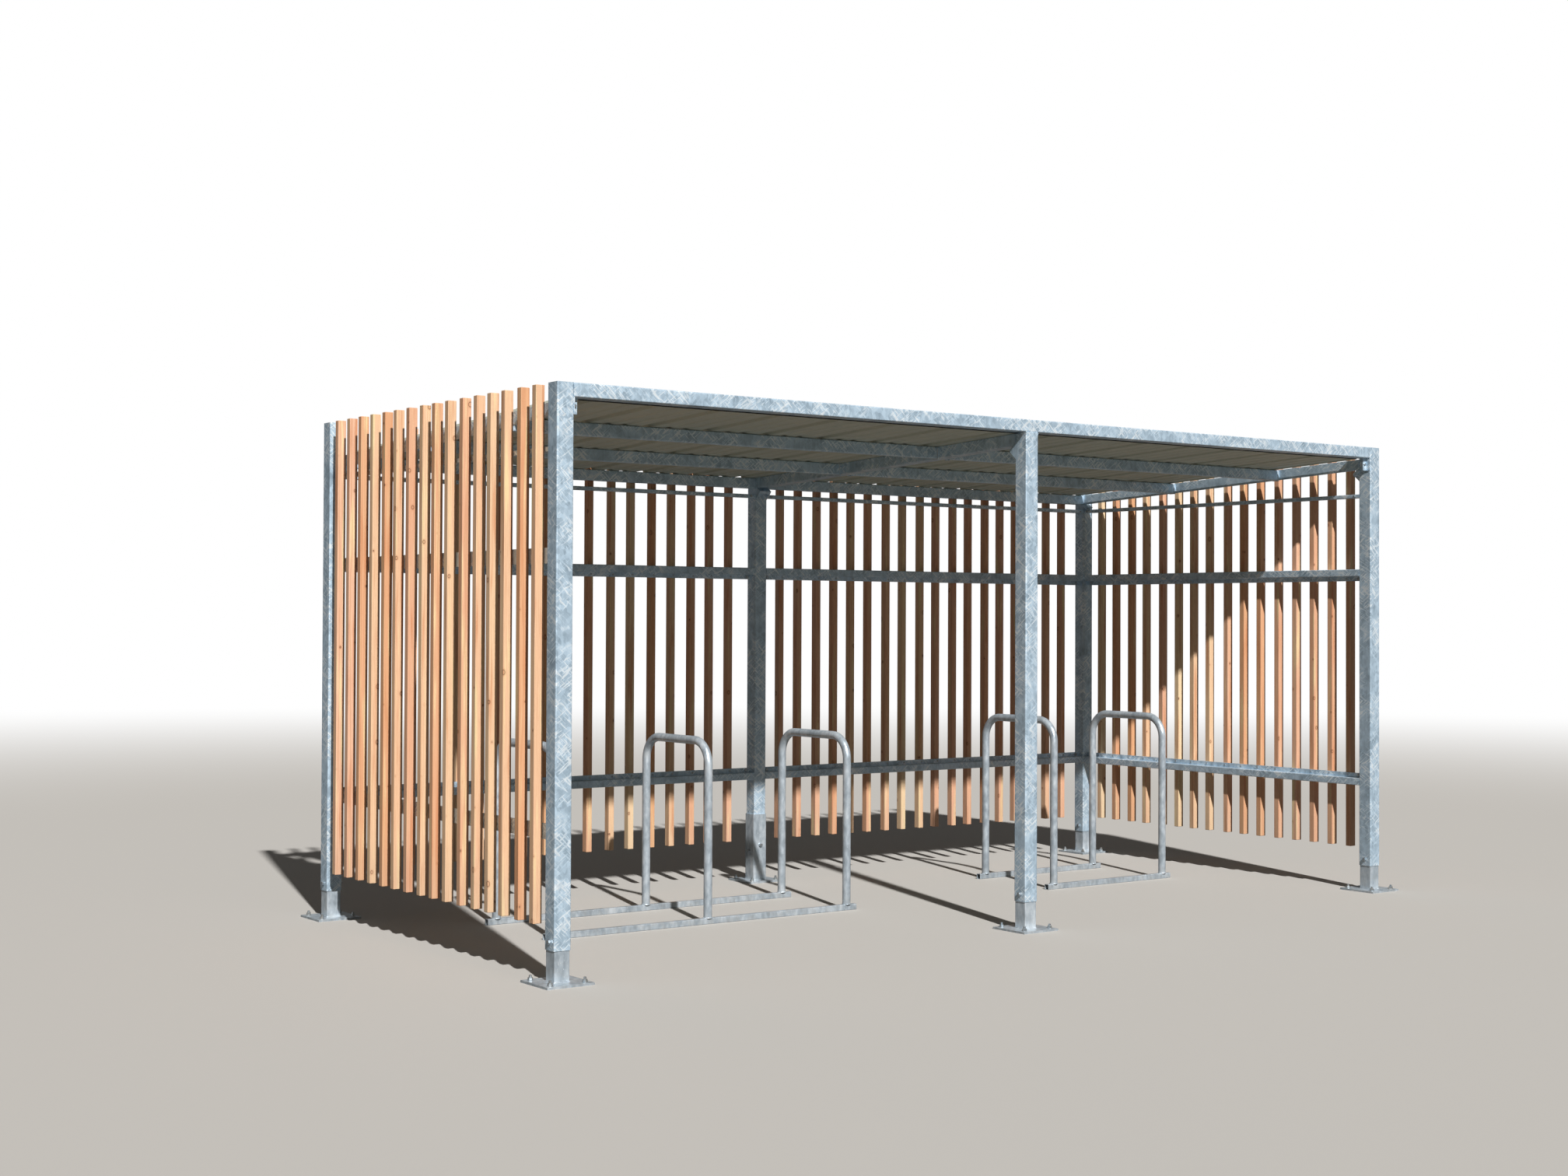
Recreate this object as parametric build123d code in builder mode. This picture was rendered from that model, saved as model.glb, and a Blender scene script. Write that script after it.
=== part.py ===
# Open bike shelter of two bays: welded portal frames with mitred, bolted corners, upright
# timber slats on three sides, a ribbed sheet roof that falls to the back, and racks of hoops.
# Millimetres. X runs along the open front, Y runs to the back and Z is up from the ground.
# The origin is on the ground at the middle of the plan.

import os
from math import atan, ceil, cos, floor, hypot

from build123d import *

os.makedirs("parts", exist_ok=True)

# Portal frames
bay_width = 2620.0
frame_depth = 2285.0
post_size = 80.0
post_wall = 3.0
post_corner = 6.0
post_lift = 140.0
wall_height = 2493.0
cap_thickness = 4.0
rafter_height = 60.0
rafter_wall = 3.0
rafter_corner = 5.0
rafter_seam_place = 77.0
rafter_seam_width = 4.0
rafter_seam_depth = 2.0
side_rafter_width = 12.0
side_rafter_corner = 1.5
roof_fall = 109.0

# Bolted corners
knee_plate = 10.0
knee_reach = 46.0
knee_proud = 6.0
knee_start = 34.0
side_knee_width = 40.0
stiffener_thickness = 6.0
stiffener_drop = 60.0

# Beams and purlins
front_beam_height = 60.0
front_beam_gap = 1.0
cleat_leg = 30.0
cleat_thickness = 5.0
cleat_height = 70.0
cleat_inset = 2.0
purlin_width = 40.0
purlin_wall = 3.0
purlin_place = 660.0
purlin_spacing = 824.0
end_plate_thickness = 6.0
end_plate_proud = 4.0

# Roof sheets
rib_spacing = 1000.0 / 3
rib_base = 62.0
rib_crest = 28.0
rib_height = 38.0
first_rib = 191.0
swage_base = 50.0
swage_crest = 30.0
swage_height = 5.0
ribs_per_bay = 8
edge_lip = 6.0
sheet_thickness = 1.0
sheet_gap = 4.0

# Feet
plate_size = 225.0
plate_thickness = 10.0
anchor_inset = 30.0
anchor_hole_radius = 7.0
foot_wall = 3.0
foot_corner = 4.0
foot_clearance = 0.5
foot_overlap = 250.0
sleeve_wall = 5.0
sleeve_height = 388.0

# Slats and rails
slat_width = 34.5
slat_depth = 34.0
slat_corner = 2.5
slat_pitch = 133.0
slat_bottom = 234.0
slat_end_gap = 60.0
rail_size = 40.0
rail_wall = 3.0
rail_corner = 4.0
rail_fin = 26.0
fin_thickness = 6.0
mid_rail_height = 1788.0
low_rail_height = 608.0
top_rail_height = 2222.0
top_rail_size = 20.0
top_rail_wall = 2.0
top_rail_corner = 3.0

# Racks
hoop_diameter = 42.4
hoop_wall = 2.6
hoop_spread = 575.0
hoop_bend = 120.0
hoop_pitch = 870.0
hoop_inset = 303.0
left_hoop_height = 925.0
right_hoop_height = 968.0
hoop_middle_y = 182.5
rack_rail_size = 30.0
rack_rail_wall = 2.0
rack_rail_corner = 3.0
rack_rail_overhang = 55.0

# Places that follow from these sizes
frame_x = {"left": -bay_width, "middle": 0.0, "right": bay_width}
front_face = -(frame_depth + post_size) / 2
back_face = (frame_depth + post_size) / 2
front_inner = front_face + post_size
back_inner = back_face - post_size
side_inner = bay_width - post_size / 2
side_outer = bay_width + post_size / 2
beam_bottom = wall_height - front_beam_height
fall_ratio = roof_fall / (back_face - front_face)
fall_angle = atan(fall_ratio)
uphill = (0, -cos(fall_angle), fall_ratio * cos(fall_angle))
rafter_section = rafter_height * cos(fall_angle)


def rafter_top(y):
    """Height of the rafters' top face at a place along Y."""
    return beam_bottom - fall_ratio * (y - front_face)


def rafter_bottom(y):
    """Height of the rafters' under face at a place along Y."""
    return rafter_top(y) - rafter_height


def rafter_middle(y):
    """Height of the rafters' middle line at a place along Y."""
    return rafter_top(y) - rafter_height / 2


def write(part, label):
    """Labels a finished piece and writes it."""
    part.label = label
    export_step(part, f"parts/{label}.step")


# Outlines in the frames' own plane, with Y across and Z up


def mitre(outer_y, inner_y):
    """Mitre line of a frame corner: outer end, inner corner, tip of the plates and upward normal."""
    outer = Vector(outer_y, rafter_top(outer_y))
    inner = Vector(inner_y, rafter_bottom(inner_y))
    along = (inner - outer).normalized()
    normal = Vector(-along.Y, along.X)
    if normal.Y < 0:
        normal = normal * -1
    return outer, inner, inner + along * knee_reach, normal


def knee_outline(outer_y, inner_y, start_y, side):
    """One plate along the mitre line from a place along Y to the tip, above it (1) or below it (-1)."""
    outer, inner, tip, normal = mitre(outer_y, inner_y)
    slope = (inner.Y - outer.Y) / (inner.X - outer.X)
    start_z = outer.Y + slope * (start_y - outer.X)
    far_tip = tip + normal * (side * knee_plate)
    return [
        (start_y, start_z),
        (tip.X, tip.Y),
        (far_tip.X, far_tip.Y),
        (start_y, start_z + side * knee_plate / normal.Y),
    ]


def stiffener_outline(outer_y, inner_y):
    """Small web under the tip of a post's knee plate, let into the post's rounded corner."""
    root_y = inner_y + (outer_y - inner_y) * post_corner / post_size
    root = knee_outline(outer_y, inner_y, root_y, -1)[3]
    under_tip = knee_outline(outer_y, inner_y, root_y, -1)[2]
    return [root, under_tip, (root_y, root[1] - stiffener_drop)]


def add_outline(outline, low_x, width, mode=Mode.ADD):
    """Extrudes an outline of the frames' plane along X, into the part that is being built."""
    with BuildSketch(Plane.YZ.offset(low_x)) as profile:
        with BuildLine():
            Polyline(*outline, close=True)
        make_face()
    extrude(profile.sketch, amount=width, mode=mode)


def add_ring(plane, width, height, wall, corner, length):
    """Extrudes a rectangular tube with rounded corners, into the part that is being built."""
    with BuildSketch(plane) as profile:
        RectangleRounded(width, height, corner)
        RectangleRounded(width - 2 * wall, height - 2 * wall, corner - wall, mode=Mode.SUBTRACT)
    extrude(profile.sketch, amount=length)


def box_tube(plane, width, height, wall, corner, length):
    """A plain rectangular tube."""
    with BuildPart() as tube:
        add_ring(plane, width, height, wall, corner, length)
    return tube.part


# Posts


def corner_post(x, outer_y, inner_y, plate_start, stiffened):
    """Post that runs to the top of the walls, with a cap and the knee plate of its side rafter."""
    inward = 1 if x < 0 else -1
    middle = (x, (outer_y + inner_y) / 2, 0)
    outer_half = x + inward * (post_size / 2 - side_knee_width)
    proud = x + inward * (post_size / 2 + knee_proud)
    low_x = min(outer_half, proud)
    width = side_knee_width + knee_proud
    with BuildPart() as post:
        add_ring(
            Plane(origin=middle).offset(post_lift),
            post_size, post_size, post_wall, post_corner, wall_height - post_lift,
        )
        with BuildSketch(Plane(origin=middle).offset(wall_height - cap_thickness)):
            RectangleRounded(post_size, post_size, post_corner)
        extrude(amount=cap_thickness)
        add_outline(knee_outline(outer_y, inner_y, plate_start, -1), low_x, width)
        if stiffened:
            for web_x in (outer_half, x + inward * (post_size / 2 - post_corner)):
                low_web = web_x - stiffener_thickness / 2
                add_outline(stiffener_outline(outer_y, inner_y), low_web, stiffener_thickness)
    return post.part


def middle_post(x, outer_y, inner_y, lift):
    """Post that ends in a mitre under the middle rafter, with its knee plate."""
    middle = (x, (outer_y + inner_y) / 2, 0)
    low_x = x - post_size / 2
    plate = knee_outline(outer_y, inner_y, outer_y, -1)
    inner_plate = knee_outline(outer_y, inner_y, inner_y, -1)
    head = [(outer_y, lift), (inner_y, lift), inner_plate[3], plate[3]]
    with BuildPart() as post:
        add_ring(
            Plane(origin=middle).offset(lift),
            post_size, post_size, post_wall, post_corner, wall_height - lift,
        )
        add_outline(head, low_x - post_size, 3 * post_size, Mode.INTERSECT)
        add_outline(plate, low_x, post_size)
        for web_x in (low_x, low_x + post_size - stiffener_thickness):
            add_outline(stiffener_outline(outer_y, inner_y), web_x, stiffener_thickness)
    return post.part


for side in ("left", "right"):
    front_post = corner_post(frame_x[side], front_face, front_inner, front_face + knee_start, True)
    back_post = corner_post(frame_x[side], back_face, back_inner, back_inner, False)
    write(front_post, f"post_front_{side}")
    write(back_post, f"post_back_{side}")
write(middle_post(frame_x["middle"], front_face, front_inner, post_lift), "post_front_middle")
write(middle_post(frame_x["middle"], back_face, back_inner, plate_thickness), "post_back_middle")


# Rafters


def seam_outline(start):
    """Groove of a weld across the side of a rafter, from its top face to its under face."""
    end = start + rafter_seam_width
    return [
        (start, rafter_bottom(end)),
        (end, rafter_bottom(end)),
        (end, rafter_top(start)),
        (start, rafter_top(start)),
    ]


def middle_rafter():
    """Sloping tube between the mitres of the middle posts, with a weld seam and knee plate at each end."""
    outline = [
        (front_face, rafter_top(front_face)),
        (back_face, rafter_top(back_face)),
        (back_inner, rafter_bottom(back_inner)),
        (front_inner, rafter_bottom(front_inner)),
    ]
    under_top = [
        (front_face, rafter_top(front_face)),
        (back_face, rafter_top(back_face)),
        (back_face, rafter_bottom(back_face) - rafter_height),
        (front_face, rafter_bottom(back_face) - rafter_height),
    ]
    seams = (front_face + rafter_seam_place, back_face - rafter_seam_place - rafter_seam_width)
    half = post_size / 2
    slope = Plane(origin=(0, 0, rafter_middle(0)), x_dir=(1, 0, 0), z_dir=uphill)
    with BuildPart() as tube:
        add_ring(
            slope.offset(-frame_depth),
            post_size, rafter_section, rafter_wall, rafter_corner, 2 * frame_depth,
        )
        add_outline(outline, -post_size, 2 * post_size, Mode.INTERSECT)
        for seam in seams:
            for low_x in (-half, half - rafter_seam_depth):
                add_outline(seam_outline(seam), low_x, rafter_seam_depth, Mode.SUBTRACT)
        add_outline(knee_outline(front_face, front_inner, front_face, 1), -half, post_size)
        add_outline(knee_outline(back_face, back_inner, back_face, 1), -half, post_size)
        add_outline(under_top, -post_size, 2 * post_size, Mode.INTERSECT)
    return tube.part


def side_rafter(x, knee_x):
    """Flat bar between the corner posts, with the upper knee plates from the posts' inner faces."""
    end = Plane(origin=(x, 0, rafter_middle(0)), x_dir=(1, 0, 0), z_dir=uphill)
    span = [
        (front_inner, rafter_top(front_inner)),
        (back_inner, rafter_top(back_inner)),
        (back_inner, rafter_bottom(back_inner) - rafter_height),
        (front_inner, rafter_bottom(back_inner) - rafter_height),
    ]
    with BuildPart() as bar:
        with BuildSketch(end.offset(-frame_depth)) as profile:
            RectangleRounded(side_rafter_width, rafter_section, side_rafter_corner)
        extrude(profile.sketch, amount=2 * frame_depth)
        for outer_y, inner_y in ((front_face, front_inner), (back_face, back_inner)):
            add_outline(knee_outline(outer_y, inner_y, inner_y, 1), knee_x, side_knee_width)
        add_outline(span, x - post_size, 2 * post_size, Mode.INTERSECT)
    return bar.part


side_rafter_x = side_inner + side_rafter_width / 2
write(side_rafter(-side_rafter_x, -side_inner - side_knee_width), "rafter_left")
write(middle_rafter(), "rafter_middle")
write(side_rafter(side_rafter_x, side_inner), "rafter_right")

# Front beam, in two lengths that meet over the middle post, with an angle cleat at each corner
beam_length = side_inner - front_beam_gap / 2
beam_middle = (0, front_face + post_size / 2, wall_height - front_beam_height / 2)
for side, inward in (("left", 1), ("right", -1)):
    start = -side_inner if side == "left" else front_beam_gap / 2
    corner = Vector(-inward * side_inner, front_face + cleat_inset)
    with BuildPart() as front_beam:
        add_ring(
            Plane(origin=beam_middle, x_dir=(0, 1, 0), z_dir=(1, 0, 0)).offset(start),
            post_size, front_beam_height, rafter_wall, rafter_corner, beam_length,
        )
        with BuildSketch(Plane.XY.offset(beam_bottom - cleat_height)):
            with BuildLine():
                Polyline(
                    (corner.X, corner.Y),
                    (corner.X, corner.Y + cleat_leg),
                    (corner.X + inward * cleat_leg, corner.Y + cleat_leg),
                    (corner.X + inward * cleat_leg, corner.Y + cleat_leg - cleat_thickness),
                    (corner.X + inward * cleat_thickness, corner.Y + cleat_leg - cleat_thickness),
                    (corner.X + inward * cleat_thickness, corner.Y),
                    close=True,
                )
            make_face()
        extrude(amount=cleat_height)
    write(front_beam.part, f"front_beam_{side}")


# Purlins and back beams, which run between the rafters


def purlin(start_x, end_x, y, plated):
    """Upright tube along X whose back top edge reaches the rafters' top plane, with or without end plates."""
    middle_z = rafter_middle(y + purlin_width / 2)
    plane = Plane(origin=(start_x, y, middle_z), x_dir=(0, 1, 0), z_dir=(1, 0, 0))
    length = end_x - start_x
    with BuildPart() as bar:
        add_ring(plane, purlin_width, rafter_height, purlin_wall, rafter_corner, length)
        if plated:
            for place in (0, length - end_plate_thickness):
                with BuildSketch(plane.offset(place)) as plate:
                    with Locations((-end_plate_proud / 2, -end_plate_proud / 2)):
                        Rectangle(purlin_width + end_plate_proud, rafter_height + end_plate_proud)
                extrude(plate.sketch, amount=end_plate_thickness)
    return bar.part


purlin_rows = {
    "purlin_front": (front_face + purlin_place + purlin_width / 2, True),
    "purlin_rear": (front_face + purlin_place + purlin_spacing + purlin_width / 2, True),
    "back_beam": (back_inner + purlin_width / 2, False),
}
for row, (y, plated) in purlin_rows.items():
    write(purlin(-side_inner, -post_size / 2, y, plated), f"{row}_left")
    write(purlin(post_size / 2, side_inner, y, plated), f"{row}_right")

# Ribbed roof sheets, one over each bay, that lie on the purlins and end just past an outer rib; the
# ribs keep one spacing over both bays, and each pan between two ribs has two low swages
sheet_front = front_inner + sheet_gap
sheet_back = back_face - slat_depth - sheet_gap
left_edge = first_rib - ribs_per_bay * rib_spacing - rib_base / 2 - edge_lip
right_edge = first_rib + (ribs_per_bay - 1) * rib_spacing + rib_base / 2 + edge_lip
sheet_length = hypot(sheet_back - sheet_front, fall_ratio * (sheet_back - sheet_front))
pan_width = rib_spacing - rib_base


def fold(middle_x, base, crest, height):
    """Under side of one rib or swage, from its foot on the left to its foot on the right."""
    return [
        (middle_x - base / 2, 0.0),
        (middle_x - crest / 2, height),
        (middle_x + crest / 2, height),
        (middle_x + base / 2, 0.0),
    ]


def rib_line(start_x, end_x):
    """Under side of a sheet across its ribs and swages, from one edge to the other."""
    points = [(start_x, 0.0)]
    first = ceil((start_x - first_rib) / rib_spacing) - 1
    last = floor((end_x - first_rib) / rib_spacing) + 1
    for number in range(first, last + 1):
        rib_x = first_rib + number * rib_spacing
        pan_x = rib_x + rib_spacing / 2
        folds = (
            fold(rib_x, rib_base, rib_crest, rib_height),
            fold(pan_x - pan_width / 6, swage_base, swage_crest, swage_height),
            fold(pan_x + pan_width / 6, swage_base, swage_crest, swage_height),
        )
        for line in folds:
            if line[0][0] > start_x and line[-1][0] < end_x:
                points.extend(line)
    points.append((end_x, 0.0))
    return points


for side, start_x, end_x in (
    ("left", left_edge, -sheet_gap / 2),
    ("right", sheet_gap / 2, right_edge),
):
    lower = rib_line(start_x, end_x)
    upper = [(x, z + sheet_thickness) for x, z in reversed(lower)]
    back_edge = Plane(origin=(0, sheet_back, rafter_top(sheet_back)), x_dir=(1, 0, 0), z_dir=uphill)
    with BuildPart() as sheet:
        with BuildSketch(back_edge):
            with BuildLine():
                Polyline(*lower, *upper, close=True)
            make_face()
        extrude(amount=sheet_length)
    write(sheet.part, f"roof_sheet_{side}")


# Rails of the walls: a tube and, on its outer face, the flat bar that carries the slats


def rail(plane, tall, wall, corner, fin_side, length):
    """Tube and flat bar along a wall; the bar hangs below (-1), stands above (1) or is as tall (0)."""
    reach = rail_fin if fin_side else 0
    with BuildPart() as bar:
        add_ring(plane, rail_size, tall, wall, corner, length)
        with BuildSketch(plane) as flat:
            with Locations(((rail_size + fin_thickness) / 2, fin_side * reach / 2)):
                Rectangle(fin_thickness, tall + reach)
        extrude(flat.sketch, amount=length)
    return bar.part


rail_kinds = {
    "top": (top_rail_height, top_rail_size, top_rail_wall, top_rail_corner, 0),
    "mid": (mid_rail_height, rail_size, rail_wall, rail_corner, -1),
    "low": (low_rail_height, rail_size, rail_wall, rail_corner, 1),
}
side_rail_x = side_inner + rail_size / 2
back_rail_y = back_inner + rail_size / 2
for kind, (height, tall, wall, corner, fin_side) in rail_kinds.items():
    left_plane = Plane(origin=(-side_rail_x, front_inner, height), x_dir=(-1, 0, 0), z_dir=(0, 1, 0))
    right_plane = Plane(origin=(side_rail_x, back_inner, height), x_dir=(1, 0, 0), z_dir=(0, -1, 0))
    wall_length = back_inner - front_inner
    write(rail(left_plane, tall, wall, corner, fin_side, wall_length), f"left_{kind}_rail")
    write(rail(right_plane, tall, wall, corner, fin_side, wall_length), f"right_{kind}_rail")
    back_pair = []
    for start_x in (-side_inner, post_size / 2):
        plane = Plane(origin=(start_x, back_rail_y, height), x_dir=(0, 1, 0), z_dir=(1, 0, 0))
        back_pair.append(rail(plane, tall, wall, corner, fin_side, side_inner - post_size / 2))
    write(Compound(children=back_pair), f"back_{kind}_rails")


# Slats of the walls, at one pitch in the middle of each bay, flush with the posts' outer faces


def slats(start, end, along_x, face):
    """As many upright slats as a wall takes, in its middle, with their outer faces on a plane."""
    count = floor((end - start - slat_width - 2 * slat_end_gap) / slat_pitch) + 1
    first = (start + end - (count - 1) * slat_pitch) / 2
    inset = slat_depth / 2 if face < 0 else -slat_depth / 2
    with BuildPart() as row:
        with BuildSketch(Plane.XY.offset(slat_bottom)):
            for number in range(count):
                place = first + number * slat_pitch
                with Locations((place, face + inset) if along_x else (face + inset, place)):
                    if along_x:
                        RectangleRounded(slat_width, slat_depth, slat_corner)
                    else:
                        RectangleRounded(slat_depth, slat_width, slat_corner)
        extrude(amount=wall_height - slat_bottom)
    return row.part


write(slats(front_inner, back_inner, False, -side_outer), "left_slats")
write(slats(front_inner, back_inner, False, side_outer), "right_slats")
write(slats(-side_inner, -post_size / 2, True, back_face), "back_left_slats")
write(slats(post_size / 2, side_inner, True, back_face), "back_right_slats")


# Feet


def foot(x, y, tube_size, wall, corner, height):
    """Base plate with anchor holes and an upright tube."""
    anchor_spacing = plate_size - 2 * anchor_inset
    with BuildPart() as base:
        with BuildSketch(Plane(origin=(x, y, 0))):
            Rectangle(plate_size, plate_size)
            with GridLocations(anchor_spacing, anchor_spacing, 2, 2):
                Circle(anchor_hole_radius, mode=Mode.SUBTRACT)
        extrude(amount=plate_thickness)
        add_ring(
            Plane(origin=(x, y, plate_thickness)),
            tube_size, tube_size, wall, corner, height - plate_thickness,
        )
    return base.part


inner_tube = post_size - 2 * post_wall - 2 * foot_clearance
sleeve_tube = post_size + 2 * foot_clearance + 2 * sleeve_wall
sleeve_corner = post_corner + sleeve_wall
for side, x in frame_x.items():
    for place, y in (("front", -frame_depth / 2), ("back", frame_depth / 2)):
        if (place, side) == ("back", "middle"):
            base = foot(x, y, sleeve_tube, sleeve_wall, sleeve_corner, sleeve_height)
        else:
            base = foot(x, y, inner_tube, foot_wall, foot_corner, post_lift + foot_overlap)
        write(base, f"foot_{place}_{side}")

# Racks of bent hoops on two floor rails; the right rack stands on higher ground in the photograph,
# so its hoops reach higher here above the one level that all legs run down to
hoops = {
    "hoop_left_outer": (-hoop_inset - 2 * hoop_pitch, left_hoop_height),
    "hoop_left_middle": (-hoop_inset - hoop_pitch, left_hoop_height),
    "hoop_left_inner": (-hoop_inset, left_hoop_height),
    "hoop_right_inner": (hoop_inset + hoop_pitch, right_hoop_height),
    "hoop_right_outer": (hoop_inset + 2 * hoop_pitch, right_hoop_height),
}
front_leg_y = hoop_middle_y - hoop_spread / 2
back_leg_y = hoop_middle_y + hoop_spread / 2
for label, (x, height) in hoops.items():
    centre_top = height - hoop_diameter / 2
    with BuildPart() as hoop:
        with BuildLine(Plane(origin=(x, 0, 0), x_dir=(0, 1, 0), z_dir=(1, 0, 0))) as bend:
            FilletPolyline(
                (front_leg_y, rack_rail_size),
                (front_leg_y, centre_top),
                (back_leg_y, centre_top),
                (back_leg_y, rack_rail_size),
                radius=hoop_bend,
            )
        with BuildSketch(Plane(origin=(x, front_leg_y, rack_rail_size))):
            Circle(hoop_diameter / 2)
            Circle(hoop_diameter / 2 - hoop_wall, mode=Mode.SUBTRACT)
        sweep(path=bend.wires()[0])
    write(hoop.part, label)

for side, first, last in (
    ("left", "hoop_left_outer", "hoop_left_inner"),
    ("right", "hoop_right_inner", "hoop_right_outer"),
):
    start_x = hoops[first][0] - rack_rail_overhang
    length = hoops[last][0] + rack_rail_overhang - start_x
    pair = []
    for leg_y in (front_leg_y, back_leg_y):
        plane = Plane(origin=(start_x, leg_y, rack_rail_size / 2), x_dir=(0, 1, 0), z_dir=(1, 0, 0))
        pair.append(box_tube(plane, rack_rail_size, rack_rail_size, rack_rail_wall, rack_rail_corner, length))
    write(Compound(children=pair), f"rack_rails_{side}")
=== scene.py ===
# Looks of an open bike shelter: galvanised frame, planed timber slats, ribbed roof sheets
# and a rack of bent hoops, with the fasteners and welds that the solids leave out.

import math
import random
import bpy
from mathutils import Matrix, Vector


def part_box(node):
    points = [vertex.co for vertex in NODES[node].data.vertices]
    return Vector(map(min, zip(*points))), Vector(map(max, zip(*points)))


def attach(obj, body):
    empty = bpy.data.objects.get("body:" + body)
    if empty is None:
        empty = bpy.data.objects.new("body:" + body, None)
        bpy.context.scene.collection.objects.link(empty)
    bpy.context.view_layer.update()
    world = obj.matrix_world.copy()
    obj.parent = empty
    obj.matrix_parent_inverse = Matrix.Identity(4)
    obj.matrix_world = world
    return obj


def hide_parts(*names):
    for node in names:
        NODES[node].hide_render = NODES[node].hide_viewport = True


bl_info = {
    "name": "Bike Shelter Looks",
    "version": (1, 1, 0),
    "blender": (4, 5, 0),
    "location": "View3D > Sidebar > Shelter",
    "description": "Finishes, fasteners, welds and stage for the packed bike shelter",
    "category": "Object",
}

import bmesh
import bpy
from bpy.props import FloatProperty, FloatVectorProperty, IntProperty, PointerProperty, StringProperty
from mathutils import Matrix, Vector

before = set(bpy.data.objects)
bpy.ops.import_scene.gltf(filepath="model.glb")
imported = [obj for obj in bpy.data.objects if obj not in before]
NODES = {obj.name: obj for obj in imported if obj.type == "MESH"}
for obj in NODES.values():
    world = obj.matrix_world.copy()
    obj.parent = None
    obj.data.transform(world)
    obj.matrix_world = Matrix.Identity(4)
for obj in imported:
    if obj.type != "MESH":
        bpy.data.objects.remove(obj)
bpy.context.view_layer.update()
MM = 0.001

# Walls of slats: node, axis along the wall and outward sense of the other axis
SLAT_WALLS = (
    ("left_slats", 1, -1),
    ("right_slats", 1, 1),
    ("back_left_slats", 0, 1),
    ("back_right_slats", 0, 1),
)
SIDES = ("left", "middle", "right")
PLACES = ("front", "back")

# Turns of the two sets of feathers in the zinc
FEATHER_TURNS = ((0.0, -0.67, 0.69), (0.0, -0.8, 3.8))


# Sizes and colours that a user would change


class StageSettings(bpy.types.PropertyGroup):
    camera_place: FloatVectorProperty(
        name="Camera place", description="Where the camera stands",
        default=(-6.9028, -8.6064, 1.5123), subtype="TRANSLATION", unit="LENGTH",
    )
    camera_yaw: FloatProperty(
        name="Camera yaw", description="Turn of the view from the back towards the right",
        default=math.radians(36.056), subtype="ANGLE",
    )
    camera_pitch: FloatProperty(
        name="Camera pitch", description="Tilt of the view above the horizon",
        default=math.radians(0.8675), subtype="ANGLE",
    )
    camera_roll: FloatProperty(
        name="Camera roll", description="Turn of the picture about the view axis",
        default=math.radians(0.238), subtype="ANGLE",
    )
    lens: FloatProperty(
        name="Lens", description="Focal length on a 36 mm wide sensor, in millimetres",
        default=47.315,
    )
    sun_side: FloatProperty(
        name="Key light side", description="Turn of the key light to the left of the open front",
        default=math.radians(16.5), subtype="ANGLE",
    )
    sun_height: FloatProperty(
        name="Key light height", description="Height of the key light above the horizon",
        default=math.radians(38.5), subtype="ANGLE",
    )
    sun_strength: FloatProperty(
        name="Key light strength", description="Strength of the key light", default=4.8,
    )
    sun_softness: FloatProperty(
        name="Key light softness", description="Width of the key light in the sky",
        default=math.radians(1.2), subtype="ANGLE",
    )
    sky_strength: FloatProperty(
        name="Fill strength", description="Strength of the even light from all round", default=0.1,
    )
    floor_colour: StringProperty(
        name="Floor colour", description="Colour of the plain floor", default="#BFBBB5",
    )
    floor_bounce: StringProperty(
        name="Floor bounce", description="Colour with which the floor lights the shelter",
        default="#6F6C67",
    )
    floor_radius: FloatProperty(
        name="Floor radius", description="Radius of the plain floor", default=80.0, unit="LENGTH",
    )
    floor_fade: FloatVectorProperty(
        name="Floor fade", description="Distances between which the floor turns to the white background",
        default=(7.0, 26.0), size=2, unit="LENGTH",
    )


class SteelSettings(bpy.types.PropertyGroup):
    bright: StringProperty(
        name="Bright zinc", description="Lightest colour of the zinc coat", default="#F1FAFF",
    )
    middle: StringProperty(
        name="Middle zinc", description="Main colour of the zinc coat", default="#CBE1F1",
    )
    dull: StringProperty(
        name="Dull zinc", description="Darkest colour of the zinc coat", default="#9BB0BF",
    )
    tube_dull: StringProperty(
        name="Dull tube", description="Darkest colour of the rack tubes", default="#AEBAC3",
    )
    tube_middle: StringProperty(
        name="Middle tube", description="Main colour of the rack tubes", default="#C9D4DC",
    )
    tube_bright: StringProperty(
        name="Bright tube", description="Lightest colour of the rack tubes", default="#EAF1F6",
    )
    rub: StringProperty(
        name="Rubbed zinc", description="Colour of scratches in the rack tubes", default="#F8FBFD",
    )
    bolt: StringProperty(
        name="Plated bolt", description="Colour of the bolts' zinc plating", default="#C6CACC",
    )
    dirt: StringProperty(
        name="Splashed dust", description="Colour of the dust near the ground", default="#BFB9AE",
    )
    spangle: FloatProperty(
        name="Spangle size", description="Width of one zinc crystal", default=16 * MM, unit="LENGTH",
    )
    streak_width: FloatProperty(
        name="Streak width", description="Width of the bright feathers in the zinc coat",
        default=7 * MM, unit="LENGTH",
    )
    streak_stretch: FloatProperty(
        name="Streak stretch", description="How many times longer than wide a feather is", default=9.0,
    )
    run_width: FloatProperty(
        name="Run width", description="Width of the runs down the zinc coat", default=22 * MM,
        unit="LENGTH",
    )
    dirt_height: FloatProperty(
        name="Dirt height", description="Height that splashed dirt reaches", default=150 * MM,
        unit="LENGTH",
    )


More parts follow.
